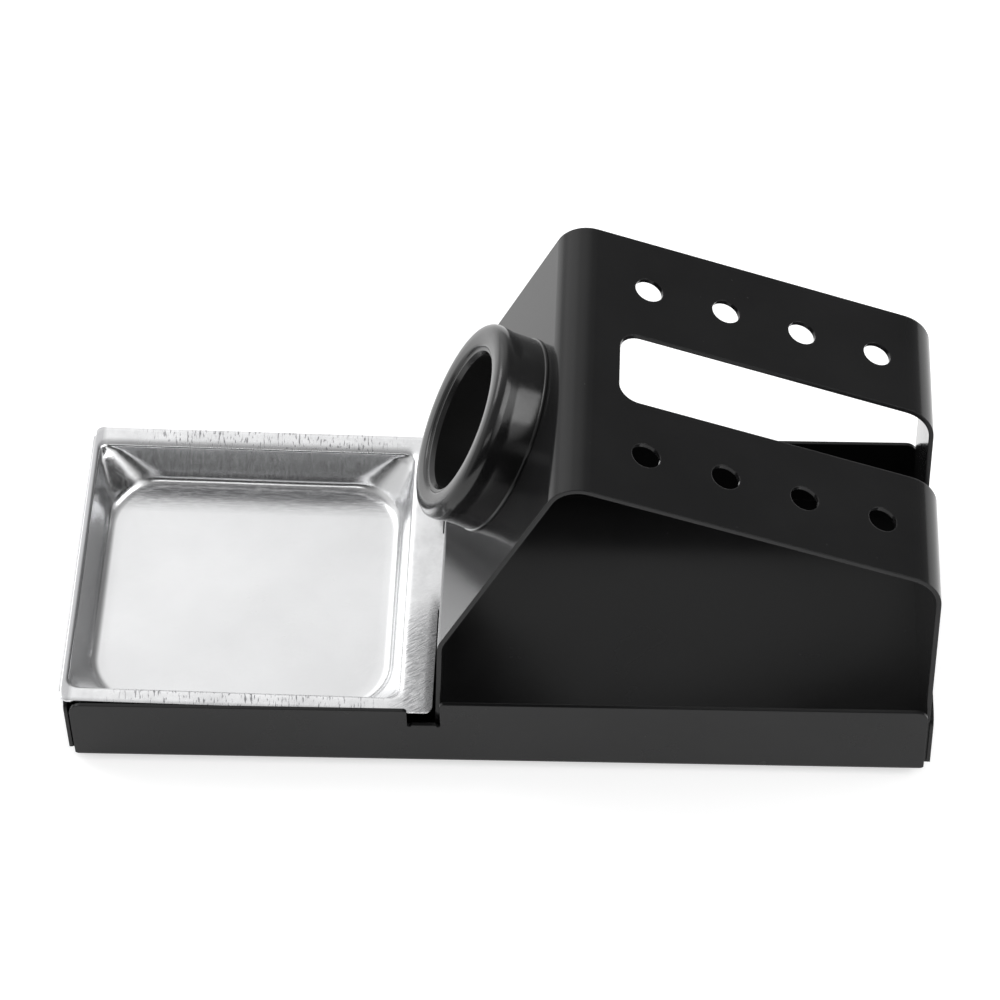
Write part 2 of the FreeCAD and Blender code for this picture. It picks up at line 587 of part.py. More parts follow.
def make_sponge_tray():
    """Local origin at the middle of the rim's top face, before the tray is dropped in place."""
    body = new_body("sponge_tray")
    sheet = "dims.tray_sheet"
    half_l, half_w = "dims.tray_length / 2", "dims.tray_width / 2"
    half_tab = "dims.tab_width / 2"

    # Drawn well: its outside skin; the space inside is cut out of it further down.
    add_well(body, "well", "dims.tray_sheet")

    # Rim with its tab, open over the well.
    rim = new_sketch(body, "XY_Plane", "rim_outline")
    polygon(rim, [
        ("-" + half_l, "-" + half_w),
        (half_l, "-" + half_w),
        (half_l, "-" + half_tab),
        (half_l + " + dims.tab_reach", "-" + half_tab),
        (half_l + " + dims.tab_reach", half_tab),
        (half_l, half_tab),
        (half_l, half_w),
        ("-" + half_l, half_w),
    ])
    add_feature(body, "PartDesign::Pad", "rim", rim, Length=sheet, Reversed=True)

    # Hook: the left rim turned down outside the pan's end wall.
    hook = new_sketch(body, "YZ_Plane", "hook_outline", "-" + half_l)
    hook_half = "(%s - dims.hook_inset)" % half_w
    polygon(hook, [
        ("-" + hook_half, "0"),
        ("-" + hook_half + " + dims.hook_inset / 2", "-dims.hook_depth"),
        (hook_half + " - dims.hook_inset / 2", "-dims.hook_depth"),
        (hook_half, "0"),
    ])
    add_feature(body, "PartDesign::Pad", "hook", hook, Length=sheet)

    def on_hook_bend(edge):
        centre = edge.CenterOfMass
        on_top = near(centre.z, 0) and near(centre.x, -size("tray_length") / 2)
        return runs_along(edge, 1) and on_top
    fillet(body, "hook_bend", "dims.rim_edge", on_hook_bend)

    def on_rim_corner(edge):
        centre = edge.CenterOfMass
        on_side = near(abs(centre.y), size("tray_width") / 2)
        return on_side and runs_along(edge, 2) and near(centre.x, size("tray_length") / 2)
    fillet(body, "rim_corners", "dims.rim_corner", on_rim_corner)

    space = new_body("well_space")
    add_well(space, "space", "0")
    hollow = body.newObject("PartDesign::Boolean", "hollow_well")
    hollow.Type = "Cut"
    hollow.setObjects([space])
    body.Tip = hollow
    doc.recompute()

    # Soft lip where the rim turns down into the well.
    half_length, half_width = size("tray_length") / 2, size("tray_width") / 2

    def on_lip(edge):
        box = edge.BoundBox
        inside = abs(edge.CenterOfMass.y) < half_width - 1 and box.XMax < half_length - 1
        inside = inside and box.XMin > -half_length + 1
        return inside and near(box.ZMin, 0) and near(box.ZMax, 0)
    fillet(body, "lip", "dims.rim_edge", on_lip)

    place = FreeCAD.Vector(size("tray_x"), size("tray_y"), UNDERSIDE + size("tray_z"))
    dip = FreeCAD.Rotation(FreeCAD.Vector(0, 1, 0), size("tray_dip"))
    rise = FreeCAD.Rotation(FreeCAD.Vector(1, 0, 0), size("tray_rise"))
    body.Placement = FreeCAD.Placement(place, dip.multiply(rise))
    return body


# ---------------------------------------------------------------- rivets and feet
def make_floor_rivet(label, side):
    """Domed head under the floor, set head on top of the bracket's toe."""
    body = new_body(label)
    section = new_sketch(body, "XZ_Plane", label + "_section")
    grip = "(dims.pan_sheet + dims.strap_sheet)"
    polygon(section, [
        ("0", "-dims.rivet_head_height"),
        ("dims.rivet_head_radius", "-dims.rivet_head_height"),
        ("dims.rivet_head_radius", "0"),
        ("dims.rivet_radius", "0"),
        ("dims.rivet_radius", grip),
        ("dims.rivet_head_radius * 0.8", grip),
        ("dims.rivet_head_radius * 0.8", grip + " + dims.rivet_head_height"),
        ("0", grip + " + dims.rivet_head_height"),
    ])
    revolve(body, section, label + "_turned")
    rim = size("rivet_head_radius")

    def on_dome(edge):
        curve = edge.Curve
        lowest = near(edge.BoundBox.ZMax, -size("rivet_head_height"))
        return isinstance(curve, Part.Circle) and near(curve.Radius, rim) and lowest
    fillet(body, label + "_dome", "dims.rivet_head_height * 0.8", on_dome)
    x = size("heel_x") - size("toe_length") / 2
    y = size("strap_y") + side * size("rivet_row")
    body.Placement = FreeCAD.Placement(FreeCAD.Vector(x, y, UNDERSIDE), FreeCAD.Rotation())
    return body


def make_rubber_foot(label, side_x, side_y):
    body = new_body(label)
    disc = new_sketch(body, "XY_Plane", label + "_outline")
    circle(disc, "0", "0", "dims.foot_radius")
    add_feature(body, "PartDesign::Pad", label + "_disc", disc, Length="dims.foot_height")

    def on_bottom(edge):
        return near(edge.BoundBox.ZMax, 0)
    fillet(body, label + "_edge", "dims.foot_height / 3", on_bottom)
    x = side_x * (HALF_LENGTH - size("foot_inset_x"))
    y = side_y * (HALF_WIDTH - size("foot_inset_y"))
    body.Placement = FreeCAD.Placement(FreeCAD.Vector(x, y, 0), FreeCAD.Rotation())
    return body


# ---------------------------------------------------------------- assembly
def make_all():
    parts = [make_base_pan(), make_holder_bracket(), make_guide_ring(), make_ring_nut(),
             make_sponge_tray()]
    for word, side in (("near", -1), ("far", 1)):
        parts.append(make_floor_rivet("floor_rivet_" + word, side))
    for end, side_x in (("tray", -1), ("bracket", 1)):
        for word, side_y in (("near", -1), ("far", 1)):
            parts.append(make_rubber_foot("rubber_foot_%s_%s" % (end, word), side_x, side_y))
    return parts


def check_document():
    for item in doc.Objects:
        bad = [state for state in item.State if state in ("Invalid", "Error")]
        if bad:
            raise RuntimeError("%s did not recompute: %s" % (item.Label, bad))


def write_parts(parts):
    os.makedirs("parts", exist_ok=True)
    for body in parts:
        shape = body.Shape
        if shape.isNull() or not shape.isValid():
            raise RuntimeError("bad shape in " + body.Label)
        shape.exportStep("parts/%s.step" % body.Label)
        box = shape.BoundBox
        print("%-26s solids %d  volume %9.2f  x %7.2f..%7.2f  y %7.2f..%7.2f  z %6.2f..%6.2f" % (
            body.Label, len(shape.Solids), shape.Volume, box.XMin, box.XMax,
            box.YMin, box.YMax, box.ZMin, box.ZMax))


all_parts = make_all()
doc.recompute()
check_document()
write_parts(all_parts)
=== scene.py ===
import bpy
import bmesh
import json
import math
from mathutils import Matrix, Vector


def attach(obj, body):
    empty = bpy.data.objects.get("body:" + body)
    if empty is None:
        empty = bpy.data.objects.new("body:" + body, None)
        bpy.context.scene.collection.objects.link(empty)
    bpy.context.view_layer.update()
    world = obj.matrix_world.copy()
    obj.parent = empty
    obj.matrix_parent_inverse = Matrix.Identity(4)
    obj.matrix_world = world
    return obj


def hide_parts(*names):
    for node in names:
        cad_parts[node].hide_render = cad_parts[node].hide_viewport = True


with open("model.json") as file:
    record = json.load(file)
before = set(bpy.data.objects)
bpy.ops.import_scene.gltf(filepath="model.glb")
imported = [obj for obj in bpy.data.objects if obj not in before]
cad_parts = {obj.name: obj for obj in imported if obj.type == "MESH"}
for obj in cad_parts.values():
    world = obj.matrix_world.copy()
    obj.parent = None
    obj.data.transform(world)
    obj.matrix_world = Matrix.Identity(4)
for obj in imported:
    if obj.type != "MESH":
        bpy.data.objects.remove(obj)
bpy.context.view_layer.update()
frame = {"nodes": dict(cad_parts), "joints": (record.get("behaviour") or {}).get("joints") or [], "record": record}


# ---------------------------------------------------------------- sizes
TRAY_SHEET = 0.5
TRAY_RIM = {"left": 1.9, "right": 7.2, "near": 3.9, "far": 4.7}     # from the edge to the top of the wall
TRAY_LIP = {"left": 0.8, "right": 1.6, "near": 1.2, "far": 2.0}     # the part of that which curves down
LIP_DEPTH = 0.9                         # drop over the lip
WELL_DEPTH = 9.6                        # from the rim's top to the floor
WELL_LEAN = math.radians(15.7)          # wall, from upright
WELL_FILLET = 2.3                       # between wall and floor
RIM_CORNER = 1.5                        # radius of the rim's corners, seen from above
CORNER_AT_RIM = 2.2                     # the same for the well: tight at the top of the wall
CORNER_AT_FLOOR = 13.0                  # and wide at the floor
LIP_CORNER_GROWTH = 0.6                 # added where the lip starts
DRAW_LINE = 0.05                        # height of the faint ridge round the foot of the wall

WALL_END = WELL_DEPTH - WELL_FILLET * (1 - math.sin(WELL_LEAN))     # depth where the fillet starts
WALL_RUN = (WALL_END - LIP_DEPTH) * math.tan(WELL_LEAN)             # how far in the wall leans by then
FILLET_RUN = WELL_FILLET * math.cos(WELL_LEAN)                      # and the fillet after it

TAB_REACH = 3.8                         # past the right rim
HOOK_BEND = 0.5                         # radius of the left rim's roll
HOOK_DEPTH = 5.8                        # from the rim's top to the hook's lower edge
HOOK_TAPER = 1.0                        # how much shorter the lower edge is, about, at each end
BURR = 0.1                              # rounding of the cut edges

# Where points lie along each straight side, as parts of its length. Hook and tab end on one of them.
HOOK_END = 0.015
TAB_END = 0.355
SIDE_STEPS = (0, HOOK_END, 0.1, 0.2, 0.29, TAB_END, 0.43, 0.5)
SIDE_STEPS += tuple(1 - t for t in reversed(SIDE_STEPS[:-1]))
CORNER_STEPS = 12
WALL_STEPS = 10

SPIGOT = 6.5                            # collar behind the plate's front face
COLLAR_BORE = 14.3                      # radius
BORE_WALL = 14.75                       # everything nearer the axis gets the darker, duller bore finish
COLLAR_TURNS = 192
COLLAR_SECTION = (                      # (radius, height over the plate, rounding of that corner)
    (COLLAR_BORE, -SPIGOT, 0.3),
    (17.3, -SPIGOT, 0.5),
    (17.3, 0.0, 0.0),
    (20.75, 0.0, 0.1),
    (20.7, 0.5, 0.2),
    (20.45, 0.65, 0.1),
    (20.4, 5.6, 6.0),
    (20.8, 7.9, 4.0),
    (20.8, 10.3, 1.9),
    (18.2, 10.62, 6.0),
    (15.7, 10.35, 1.1),
    (15.45, 9.7, 0.1),
    (14.9, 9.62, 0.25),
    (COLLAR_BORE, 8.6, 0.4),
)


# ---------------------------------------------------------------- node helpers
def new_material(name):
    material = bpy.data.materials.new(name)
    material.use_nodes = True
    tree = material.node_tree
    return material, tree, tree.nodes["Principled BSDF"]


def add(tree, kind, **inputs):
    """A node whose inputs, by name or by number as i0 and i1, get a value or a link from a socket."""
    node = tree.nodes.new(kind)
    for key, value in inputs.items():
        numbered = key[0] == "i" and key[1:].isdigit()
        socket = node.inputs[int(key[1:])] if numbered else node.inputs[key]
        if isinstance(value, bpy.types.NodeSocket):
            tree.links.new(value, socket)
        else:
            socket.default_value = value
    return node


def object_place(tree, stretch=(1, 1, 1)):
    """Object coordinates in millimetres, stretched."""
    place = add(tree, "ShaderNodeTexCoord")
    scaled = add(tree, "ShaderNodeVectorMath", i0=place.outputs["Object"])
    scaled.operation = "MULTIPLY"
    scaled.inputs[1].default_value = [1000 * s for s in stretch]
    return scaled.outputs[0]


def turned(tree, place, degrees, stretch):
    """Coordinates turned about Z and then stretched, for marks that run one way."""
    node = add(tree, "ShaderNodeMapping", Vector=place)
    node.vector_type = "TEXTURE"
    node.inputs["Rotation"].default_value = (0, 0, math.radians(degrees))
    node.inputs["Scale"].default_value = [1 / s for s in stretch]
    return node.outputs["Vector"]


def noise(tree, place, scale, detail=3.0, rough=0.5):
    node = add(tree, "ShaderNodeTexNoise", Vector=place, Scale=scale, Detail=detail, Roughness=rough)
    return node.outputs["Fac"]


def remap(tree, value, low, high, to_low, to_high):
    node = add(tree, "ShaderNodeMapRange", Value=value)
    node.inputs["From Min"].default_value = low
    node.inputs["From Max"].default_value = high
    node.inputs["To Min"].default_value = to_low
    node.inputs["To Max"].default_value = to_high
    return node.outputs["Result"]


def calculate(tree, operation, a, b=0.0):
    node = add(tree, "ShaderNodeMath", i0=a, i1=b)
    node.operation = operation
    return node.outputs[0]


def between(tree, value, low, high, soft):
    """1 where value lies between low and high, fading over soft."""
    up = remap(tree, value, low - soft, low, 0, 1)
    down = remap(tree, value, high, high + soft, 1, 0)
    return calculate(tree, "MULTIPLY", up, down)


def blend_colours(tree, factor, first, second):
    node = tree.nodes.new("ShaderNodeMix")
    node.data_type = "RGBA"
    tree.links.new(factor, node.inputs["Factor"])
    for socket, value in ((node.inputs["A"], first), (node.inputs["B"], second)):
        if isinstance(value, bpy.types.NodeSocket):
            tree.links.new(value, socket)
        else:
            socket.default_value = value
    return node.outputs["Result"]


def bump(tree, height, distance, strength=1.0, below=None):
    """A normal for a height of distance millimetres, on top of the normal below."""
    node = add(tree, "ShaderNodeBump", Height=height)
    node.inputs["Distance"].default_value = distance / 1000
    node.inputs["Strength"].default_value = strength
    if below is not None:
        tree.links.new(below, node.inputs["Normal"])
    return node.outputs["Normal"]


# ---------------------------------------------------------------- materials
def black_enamel(name, smooth, dull, edge):
    """Baked enamel on sheet: orange peel, dust in the paint, and a gloss that drifts from smooth to dull.

    The sheared edges catch light as if they were rounded by edge millimetres.
    """
    material, tree, shader = new_material(name)
    place = object_place(tree)
    cloud = noise(tree, place, 0.05, 4)
    speck = noise(tree, place, 0.9, 1)
    dust = remap(tree, speck, 0.80, 0.84, 0, 1)
    paint = blend_colours(tree, remap(tree, cloud, 0.3, 0.7, 0, 1),
                          (0.0105, 0.0105, 0.0108, 1), (0.0135, 0.0135, 0.0138, 1))
    colour = blend_colours(tree, dust, paint, (0.03, 0.03, 0.03, 1))
    tree.links.new(colour, shader.inputs["Base Color"])
    tree.links.new(remap(tree, cloud, 0.3, 0.7, smooth, dull), shader.inputs["Roughness"])
    peel = bump(tree, noise(tree, place, 0.9, 2), 0.0025, 0.6)
    dusty = bump(tree, dust, 0.01, 0.6, peel)
    rounding = add(tree, "ShaderNodeBevel", Normal=dusty)
    rounding.samples = 4
    rounding.inputs["Radius"].default_value = edge / 1000
    tree.links.new(rounding.outputs["Normal"], shader.inputs["Normal"])
    shader.inputs["IOR"].default_value = 1.3
    return material


def black_phenolic():
    """Glossy moulding with fine scratches that all run one way, and a slight wave."""
    material, tree, shader = new_material("black_phenolic")
    place = object_place(tree)
    cloud = noise(tree, place, 0.12, 4)
    scratch = noise(tree, object_place(tree, (0.3, 3, 0.3)), 2.0, 4, 0.7)
    colour = blend_colours(tree, remap(tree, cloud, 0.3, 0.7, 0, 1),
                           (0.006, 0.006, 0.0062, 1), (0.009, 0.009, 0.0092, 1))
    tree.links.new(colour, shader.inputs["Base Color"])
    tree.links.new(remap(tree, scratch, 0.35, 0.75, 0.14, 0.26), shader.inputs["Roughness"])
    wave = bump(tree, noise(tree, place, 0.35, 2), 0.006, 0.6)
    tree.links.new(wave, shader.inputs["Normal"])
    shader.inputs["IOR"].default_value = 1.5
    return material


def wear_on_rim(tree, place, x, y):
    """Short press marks across the near and far rims, and slanting rubs on the near half of the right one."""
    marks = noise(tree, turned(tree, place, 4, (0.9, 0.16, 1.0)), 2.6, 3, 0.55)
    middle_of_rim = between(tree, calculate(tree, "ABSOLUTE", x), -1.0, 21.0, 10.0)
    near_or_far = remap(tree, calculate(tree, "ABSOLUTE", y), 30, 32, 0, 1)
    pressed = calculate(tree, "MULTIPLY", remap(tree, marks, 0.55, 0.64, 0, 1), middle_of_rim)
    pressed = calculate(tree, "MULTIPLY", pressed, near_or_far)

    rubbing = noise(tree, turned(tree, place, 35, (0.18, 1.6, 1.0)), 2.4, 4, 0.65)
    on_right = remap(tree, x, 29.5, 33.0, 0, 1)
    near_corner = between(tree, y, -37.0, -16.0, 8.0)
    rubbed = remap(tree, rubbing, 0.42, 0.68, 0, 1)
    rubbed = calculate(tree, "MULTIPLY", rubbed, calculate(tree, "MULTIPLY", on_right, near_corner))
    return calculate(tree, "MAXIMUM", pressed, rubbed)


def bare_aluminium():
    """Drawn sheet: satin floor, brighter stretched walls, and a rim marked by rubbing and pressing."""
    material, tree, shader = new_material("bare_aluminium")
    place = object_place(tree)
    split = add(tree, "ShaderNodeSeparateXYZ", Vector=place)
    x, y, z = (split.outputs[axis] for axis in "XYZ")
    on_floor = remap(tree, z, 0.7 - WELL_DEPTH, 0.2 - WELL_DEPTH, 0, 1)
    on_rim = remap(tree, z, -0.7, -0.2, 0, 1)

    cloud = noise(tree, place, 0.06, 4)
    grain = noise(tree, turned(tree, place, 0, (0.25, 2.0, 1.0)), 2.2, 4, 0.7)
    streaks = noise(tree, turned(tree, place, 0, (1.3, 1.3, 0.12)), 1.4, 4, 0.6)
    worn = calculate(tree, "MULTIPLY", wear_on_rim(tree, place, x, y), on_rim)

    # Painted reflection of the dark far wall: the floor beside it is darkened, in streaks.
    streak = noise(tree, turned(tree, place, 0, (0.2, 1.6, 1.0)), 1.6, 4, 0.7)
    beside_far_wall = calculate(tree, "MULTIPLY", remap(tree, y, 21.5, 27.5, 0, 1), on_floor)
    painted_wall_reflection = calculate(tree, "MULTIPLY", remap(tree, streak, 0.3, 0.6, 0.3, 1), beside_far_wall)

    # Patches of the rim dulled by handling, and the narrow left rim made darker all along.
    patches = noise(tree, turned(tree, place, 20, (0.5, 0.5, 1.0)), 0.35, 5, 0.65)
    rim_darkening = remap(tree, patches, 0.4, 0.7, 0, 0.35)
    darker_left_rim = calculate(tree, "MULTIPLY", remap(tree, x, -36.8, -35.8, 1, 0), 0.9)
    rim_darkening = calculate(tree, "MULTIPLY", calculate(tree, "MAXIMUM", rim_darkening, darker_left_rim), on_rim)

    clean = blend_colours(tree, remap(tree, cloud, 0.3, 0.7, 0, 1),
                          (0.79, 0.793, 0.8, 1), (0.84, 0.843, 0.85, 1))
    rim_darkened = blend_colours(tree, rim_darkening, clean, (0.5, 0.5, 0.51, 1))
    # Painted reflection: the floor beside the far wall is darkened where it mirrors the dark wall.
    with_wall_reflection = blend_colours(tree, painted_wall_reflection, rim_darkened, (0.34, 0.34, 0.35, 1))
    colour = blend_colours(tree, worn, with_wall_reflection, (0.3, 0.3, 0.31, 1))
    tree.links.new(colour, shader.inputs["Base Color"])

    # The walls are shinier than the flat parts, and the wear is the dullest.
    walls = remap(tree, streaks, 0.3, 0.7, 0.16, 0.26)
    satin = remap(tree, grain, 0.3, 0.7, 0.20, 0.28)
    flat = calculate(tree, "MAXIMUM", on_floor, on_rim)
    rough = calculate(tree, "ADD", calculate(tree, "MULTIPLY", flat, satin),
                      calculate(tree, "MULTIPLY", calculate(tree, "SUBTRACT", 1.0, flat), walls))
    rough = calculate(tree, "ADD", rough, calculate(tree, "MULTIPLY", worn, 0.25))
    tree.links.new(rough, shader.inputs["Roughness"])

    drawn = bump(tree, streaks, 0.012, 0.5)
    fine = bump(tree, grain, 0.0015, 0.4, drawn)
    marked = bump(tree, calculate(tree, "SUBTRACT", 1.0, worn), 0.02, 0.6, fine)
    tree.links.new(marked, shader.inputs["Normal"])
    shader.inputs["Metallic"].default_value = 1.0
    return material


def zinc_plate():
    """Dull grey plating with a fine spangle."""
    material, tree, shader = new_material("zinc_plate")
    place = object_place(tree)
    spots = noise(tree, place, 1.2, 4)
    colour = blend_colours(tree, spots, (0.42, 0.42, 0.43, 1), (0.62, 0.62, 0.6, 1))
    tree.links.new(colour, shader.inputs["Base Color"])
    tree.links.new(remap(tree, spots, 0.3, 0.7, 0.25, 0.45), shader.inputs["Roughness"])
    tree.links.new(bump(tree, spots, 0.01, 0.5), shader.inputs["Normal"])
    shader.inputs["Metallic"].default_value = 1.0
    return material


def black_rubber():
    """Matt and gritty."""
    material, tree, shader = new_material("black_rubber")
    place = object_place(tree)
    grit = noise(tree, place, 3.0, 4)
    colour = blend_colours(tree, grit, (0.012, 0.012, 0.012, 1), (0.03, 0.03, 0.029, 1))
    tree.links.new(colour, shader.inputs["Base Color"])
    tree.links.new(remap(tree, grit, 0.3, 0.7, 0.6, 0.85), shader.inputs["Roughness"])
    tree.links.new(bump(tree, grit, 0.03, 0.6), shader.inputs["Normal"])
    return material


def darker_bore():
    """Inside of the collar: darker and less glossy than the moulding, with random scuffs."""
    material, tree, shader = new_material("darker_bore")
    place = object_place(tree)
    scuff = noise(tree, object_place(tree, (2.0, 2.0, 0.3)), 1.5, 4, 0.6)
    colour = blend_colours(tree, scuff, (0.003, 0.003, 0.003, 1), (0.006, 0.006, 0.006, 1))
    tree.links.new(colour, shader.inputs["Base Color"])
    tree.links.new(remap(tree, scuff, 0.3, 0.7, 0.5, 0.7), shader.inputs["Roughness"])
    tree.links.new(bump(tree, noise(tree, place, 1.2, 3), 0.01, 0.5), shader.inputs["Normal"])
    shader.inputs["Specular IOR Level"].default_value = 0.15
    return material


FINISHES = {
    "black_paint": black_enamel("black_enamel", smooth=0.12, dull=0.16, edge=0.35),
    "black_phenolic": black_phenolic(),
    "bare_aluminium": bare_aluminium(),
    "steel_rivet": zinc_plate(),
    "black_rubber": black_rubber(),
}


def paint_cad_nodes():
    """Each CAD node in its slot's finish; the pan's paint is duller, rubbed by handling."""
    for part in frame["record"]["subparts"]:
        node = frame["nodes"][part["node"]]
        node.data.materials.clear()
        node.data.materials.append(FINISHES[part["material_slot"]])
    pan = frame["nodes"]["base_pan"].data.materials
    pan[0] = black_enamel("rubbed_enamel", smooth=0.20, dull=0.28, edge=0.3)


# ---------------------------------------------------------------- mesh helpers
def object_from(name, build, *materials):
    """Ends a bmesh as an object of the scene."""
    mesh = bpy.data.meshes.new(name)
    build.to_mesh(mesh)
    build.free()
    for material in materials:
        mesh.materials.append(material)
    made = bpy.data.objects.new(name, mesh)
    bpy.context.scene.collection.objects.link(made)
    return made


def strip(build, previous, row):
    """Faces between two open rows with the same number of points."""
    for a, b, c, d in zip(previous, row, row[1:], previous[1:]):
        build.faces.new((a, b, c, d))


# ---------------------------------------------------------------- tray
def tray_placement():
    """Local +Z out of the rim's top face, origin at its middle; from the hinge's tilted axis."""
    axis = Vector(frame["joints"][0]["axis"])
    dip = Matrix.Rotation(math.atan2(axis.x, axis.z), 4, "Y")
    rise = Matrix.Rotation(math.acos(axis.y), 4, "X")
    turn = dip @ rise
    local = [turn.inverted() @ v.co for v in frame["nodes"]["sponge_tray"].data.vertices]
    low = Vector([min(v[i] for v in local) for i in range(3)])
    high = Vector([max(v[i] for v in local) for i in range(3)])
    high.x -= TAB_REACH / 1000
    middle = Vector(((low.x + high.x) / 2, (low.y + high.y) / 2, high.z))
    return Matrix.Translation(turn @ middle) @ turn, 1000 * (high.x - low.x), 1000 * (high.y - low.y)


def outline(edges, corner, z):
    """A rounded rectangle with the same number of points at every level, right side first."""
    left, right, near, far = (edges[side] for side in ("left", "right", "near", "far"))
    sides = [
        ((right, near + corner), (right, far - corner)),
        ((right - corner, far), (left + corner, far)),
        ((left, far - corner), (left, near + corner)),
        ((left + corner, near), (right - corner, near)),
    ]
    centres = [
        (right - corner, far - corner), (left + corner, far - corner),
        (left + corner, near + corner), (right - corner, near + corner),
    ]
    points = []
    for quarter, (start, end) in enumerate(sides):
        for t in SIDE_STEPS:
            points.append((start[0] + t * (end[0] - start[0]), start[1] + t * (end[1] - start[1]), z))
        for step in range(1, CORNER_STEPS):
            angle = math.radians(90 * (quarter + step / CORNER_STEPS))
            centre = centres[quarter]
            points.append((centre[0] + corner * math.cos(angle), centre[1] + corner * math.sin(angle), z))
    return points


def inset(edges, amounts):
    """Edges moved inward, each by its own amount, or all by one amount."""
    inward = {"left": 1, "right": -1, "near": 1, "far": -1}
    if not isinstance(amounts, dict):
        amounts = dict.fromkeys(edges, amounts)
    return {side: edges[side] + inward[side] * amounts[side] for side in edges}


def toward(edges, others, part):
    """Edges moved part of the way to other ones."""
    return {side: edges[side] + part * (others[side] - edges[side]) for side in edges}


def corner_at(depth):
    """Radius of the well's corners: tight at the rim, wide at the floor."""
    part = min(1.0, depth / WELL_DEPTH)
    return CORNER_AT_RIM + (CORNER_AT_FLOOR - CORNER_AT_RIM) * part * (1.35 - 0.35 * part)


def rim_levels(outer, wall_top):
    """The flat rim from its outer edge inward, then the lip's quarter round down to the wall."""
    lip_start = inset(wall_top, {side: -TRAY_LIP[side] for side in wall_top})
    levels = []
    for part in (0, 0.35, 0.7):
        levels.append(outline(toward(outer, lip_start, part), RIM_CORNER + part, 0))
    for degrees in range(0, 91, 15):
        angle = math.radians(degrees)
        short = 1 - math.sin(angle)
        edges = inset(wall_top, {side: -TRAY_LIP[side] * short for side in wall_top})
        corner = CORNER_AT_RIM + LIP_CORNER_GROWTH * short
        levels.append(outline(edges, corner, -LIP_DEPTH * (1 - math.cos(angle))))
    return levels


def wall_levels(wall_top):
    """The leaning wall with its faint ridge, then the fillet at its foot."""
    levels = []
    for step in range(1, WALL_STEPS + 1):
        part = step / WALL_STEPS
        depth = LIP_DEPTH + (WALL_END - LIP_DEPTH) * part
        ridge = DRAW_LINE * max(0.0, 1 - abs(part - 0.9) / 0.15)
        run = (depth - LIP_DEPTH) * math.tan(WELL_LEAN) + ridge
        levels.append(outline(inset(wall_top, run), corner_at(depth), -depth))
    for step in range(1, WALL_STEPS + 1):
        angle = WELL_LEAN + (math.pi / 2 - WELL_LEAN) * step / WALL_STEPS
        across = WELL_FILLET * (math.cos(WELL_LEAN) - math.cos(angle))
        depth = WALL_END + WELL_FILLET * (math.sin(angle) - math.sin(WELL_LEAN))
        levels.append(outline(inset(wall_top, WALL_RUN + across), corner_at(depth) - across, -depth))
    return levels


def floor_levels(wall_top):
    """Smaller and smaller outlines on the floor, up to its middle."""
    floor = inset(wall_top, WALL_RUN + FILLET_RUN)
    across = (floor["left"] + floor["right"]) / 2
    along = (floor["near"] + floor["far"]) / 2
    middle = {"left": across, "right": across, "near": along, "far": along}
    levels = []
    for part in (0.06, 0.16, 0.3, 0.45, 0.6, 0.75, 0.88, 0.97):
        corner = (CORNER_AT_FLOOR - FILLET_RUN) * (1 - part)
        levels.append(outline(toward(floor, middle, part), corner, -WELL_DEPTH))
    return levels


def drawn_unevenness(point):
    """Slight waves that pressing leaves in thin sheet, in mm; the rim only dips, the well goes both ways."""
    x, y, z = point
    if z > -LIP_DEPTH:
        return Vector((0, 0, -0.05 * (1 + math.sin(0.21 * x + 0.5) * math.cos(0.17 * y)) / 2))
    wave = math.sin(0.13 * x + 0.6) * math.sin(0.15 * y - 0.4)
    return Vector((0, 0, 0.06 * wave))


def add_well(build, length, width):
    """Rim, lip, wall and floor as one sheet. Returns the points of the rim's outer edge."""
    edge = {"left": -length / 2, "right": length / 2, "near": -width / 2, "far": width / 2}
    outer = dict(edge, left=edge["left"] + HOOK_BEND)
    wall_top = inset(edge, TRAY_RIM)
    loops = []
    for level in rim_levels(outer, wall_top) + wall_levels(wall_top) + floor_levels(wall_top):
        loops.append([build.verts.new((Vector(p) + drawn_unevenness(p)) / 1000) for p in level])
    count = len(loops[0])
    for outside, inside in zip(loops, loops[1:]):
        for i in range(count):
            j = (i + 1) % count
            build.faces.new((outside[i], outside[j], inside[j], inside[i]))
    build.faces.new(loops[-1])
    return loops[0]


def add_tab(build, rim):
    """The middle of the right rim carried on."""
    root = [rim[i] for i, t in enumerate(SIDE_STEPS) if TAB_END <= t <= 1 - TAB_END]
    previous = root
    for part in (0.5, 1.0):
        reach = Vector((part * TAB_REACH / 1000, 0, 0))
        row = [build.verts.new(v.co + reach) for v in root]
        strip(build, previous, row)
        previous = row


def add_hook(build, rim, width):
    """The left rim rolled over and turned down, a little shorter at its lower edge."""
    first = 2 * (len(SIDE_STEPS) + CORNER_STEPS - 1)
    root = [rim[first + i] for i, t in enumerate(SIDE_STEPS) if HOOK_END <= t <= 1 - HOOK_END]
    bend = [(math.radians(degrees), 0.0) for degrees in (20, 40, 60, 75, 90)]
    bend += [(math.radians(90), drop) for drop in (0.35, 0.7, 1.0)]
    previous = root
    for angle, drop in bend:
        x = -HOOK_BEND * math.sin(angle)
        z = -HOOK_BEND * (1 - math.cos(angle)) - drop * (HOOK_DEPTH - HOOK_BEND)
        taper = 1 - HOOK_TAPER * drop / (width / 2)
        row = [build.verts.new((v.co.x + x / 1000, v.co.y * taper, v.co.z + z / 1000)) for v in root]
        strip(build, previous, row)
        previous = row


